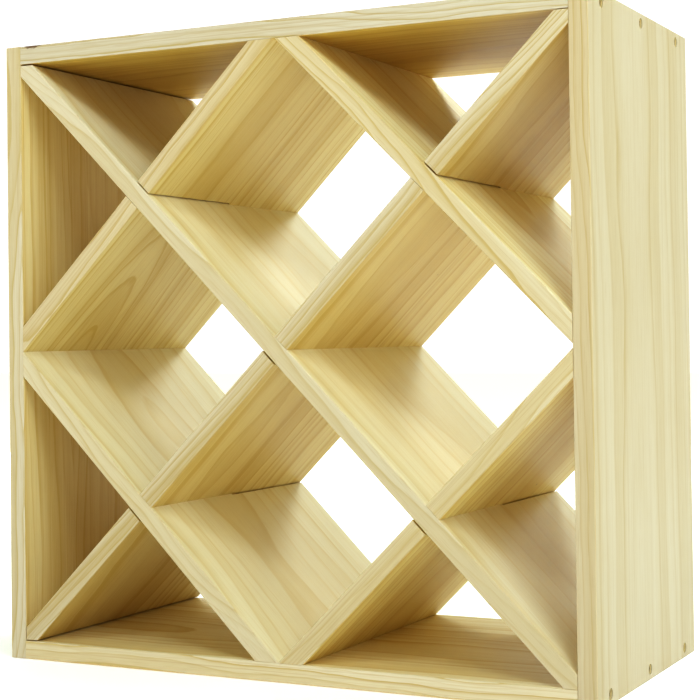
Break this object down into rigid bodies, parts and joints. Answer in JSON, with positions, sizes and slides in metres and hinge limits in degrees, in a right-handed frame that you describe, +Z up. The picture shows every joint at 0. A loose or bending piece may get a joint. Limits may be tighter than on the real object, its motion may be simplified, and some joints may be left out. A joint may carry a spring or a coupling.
{
  "type": "wine rack",
  "caption": "Square open-backed wine rack of screwed pine boards, with a lattice of half-lapped slats that makes diamond and triangular cells for bottles lying down.",
  "frame": {"origin": "middle of the underside, on the surface that the rack stands on", "axes": "+X to the right seen from the front, +Y from the front to the back along the bottles, +Z up"},
  "size_m": [0.5, 0.248, 0.5],
  "materials": {
    "panel_pine": "satin clear finish",
    "slat_pine": "satin clear finish",
    "screw_steel": "zinc plated"
  },
  "bodies": {
    "root": {"left_side_panel": "panel_pine", "right_side_panel": "panel_pine", "top_panel": "panel_pine", "bottom_panel": "panel_pine", "long_rising_slat": "slat_pine", "long_falling_slat": "slat_pine", "upper_left_slat": "slat_pine", "upper_right_slat": "slat_pine", "lower_left_slat": "slat_pine", "lower_right_slat": "slat_pine", "top_left_screws": "screw_steel", "top_right_screws": "screw_steel", "bottom_left_screws": "screw_steel", "bottom_right_screws": "screw_steel"}
  },
  "joints": []
}
